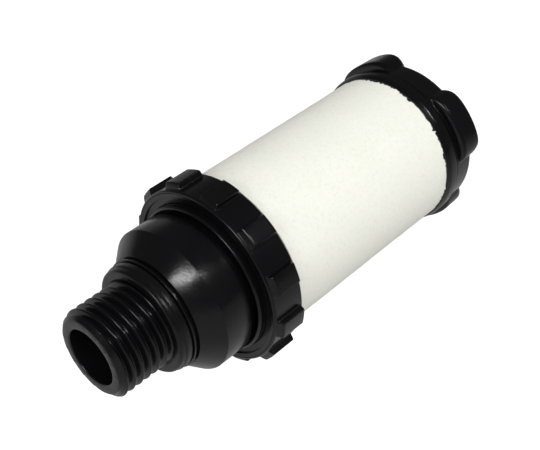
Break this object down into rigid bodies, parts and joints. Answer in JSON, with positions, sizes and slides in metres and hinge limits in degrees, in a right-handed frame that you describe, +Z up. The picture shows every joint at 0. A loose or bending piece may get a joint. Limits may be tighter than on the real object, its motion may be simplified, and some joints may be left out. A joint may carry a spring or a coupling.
{
  "type": "pneumatic muffler",
  "caption": "Pneumatic exhaust muffler: male port thread with seal, union collar with grip ribs, white porous cylinder and a lobed screw cap.",
  "frame": {"origin": "on the muffler's axis at the inner end of the full port thread, where the port's face comes to rest", "axes": "+X along the axis from the port to the cap, +Z up with the muffler lying level, +Y to the side"},
  "size_m": [0.0684, 0.029, 0.029],
  "materials": {
    "black_nylon": "moulded, glossy black",
    "nitrile_rubber": "moulded black rubber",
    "porous_white": "sintered white polyethylene, fine grain",
    "white_fibre": "pressed white fibre",
    "zinc_steel": "zinc plated",
    "brass": "turned brass"
  },
  "bodies": {
    "port": {"port_adapter": "black_nylon", "port_seal": "nitrile_rubber"},
    "silencer": {"element_carrier": "black_nylon", "union_o_ring": "nitrile_rubber", "rod_washer": "zinc_steel", "lock_washer": "zinc_steel", "rod_nut": "zinc_steel", "front_gasket": "nitrile_rubber", "core_tube": "black_nylon", "absorber_sleeve": "white_fibre", "porous_element": "porous_white", "tie_rod": "zinc_steel"},
    "thrust_ring": {"slip_ring": "black_nylon"},
    "collar": {"lock_collar": "black_nylon"},
    "cap_plate": {"end_plate": "black_nylon", "rear_gasket": "nitrile_rubber", "rod_o_ring": "nitrile_rubber"},
    "knob": {"cap_knob": "black_nylon", "knob_insert": "brass", "thrust_washer": "zinc_steel"}
  },
  "joints": [
    {"name": "union_swivel", "type": "hinge", "parent": "port", "child": "silencer", "pos_m": [0.0146, 0, 0], "axis": [1, 0, 0], "continuous": true},
    {"name": "collar_travel", "type": "slide", "parent": "silencer", "child": "thrust_ring", "axis": [-1, 0, 0], "range_m": [0, 0.00237]},
    {"name": "collar_turn", "type": "hinge", "parent": "thrust_ring", "child": "collar", "pos_m": [0.015, 0, 0], "axis": [-1, 0, 0], "range_deg": [0, 684]},
    {"name": "knob_travel", "type": "slide", "parent": "silencer", "child": "cap_plate", "axis": [1, 0, 0], "range_m": [0, 0.00368]},
    {"name": "knob_turn", "type": "hinge", "parent": "cap_plate", "child": "knob", "pos_m": [0.0576, 0, 0], "axis": [1, 0, 0], "range_deg": [0, 1656]}
  ],
  "couplings": [
    {"joint": "collar_travel", "follows": "collar_turn", "m_per_rad": 0.00019894},
    {"joint": "knob_travel", "follows": "knob_turn", "m_per_rad": 0.00012732}
  ]
}
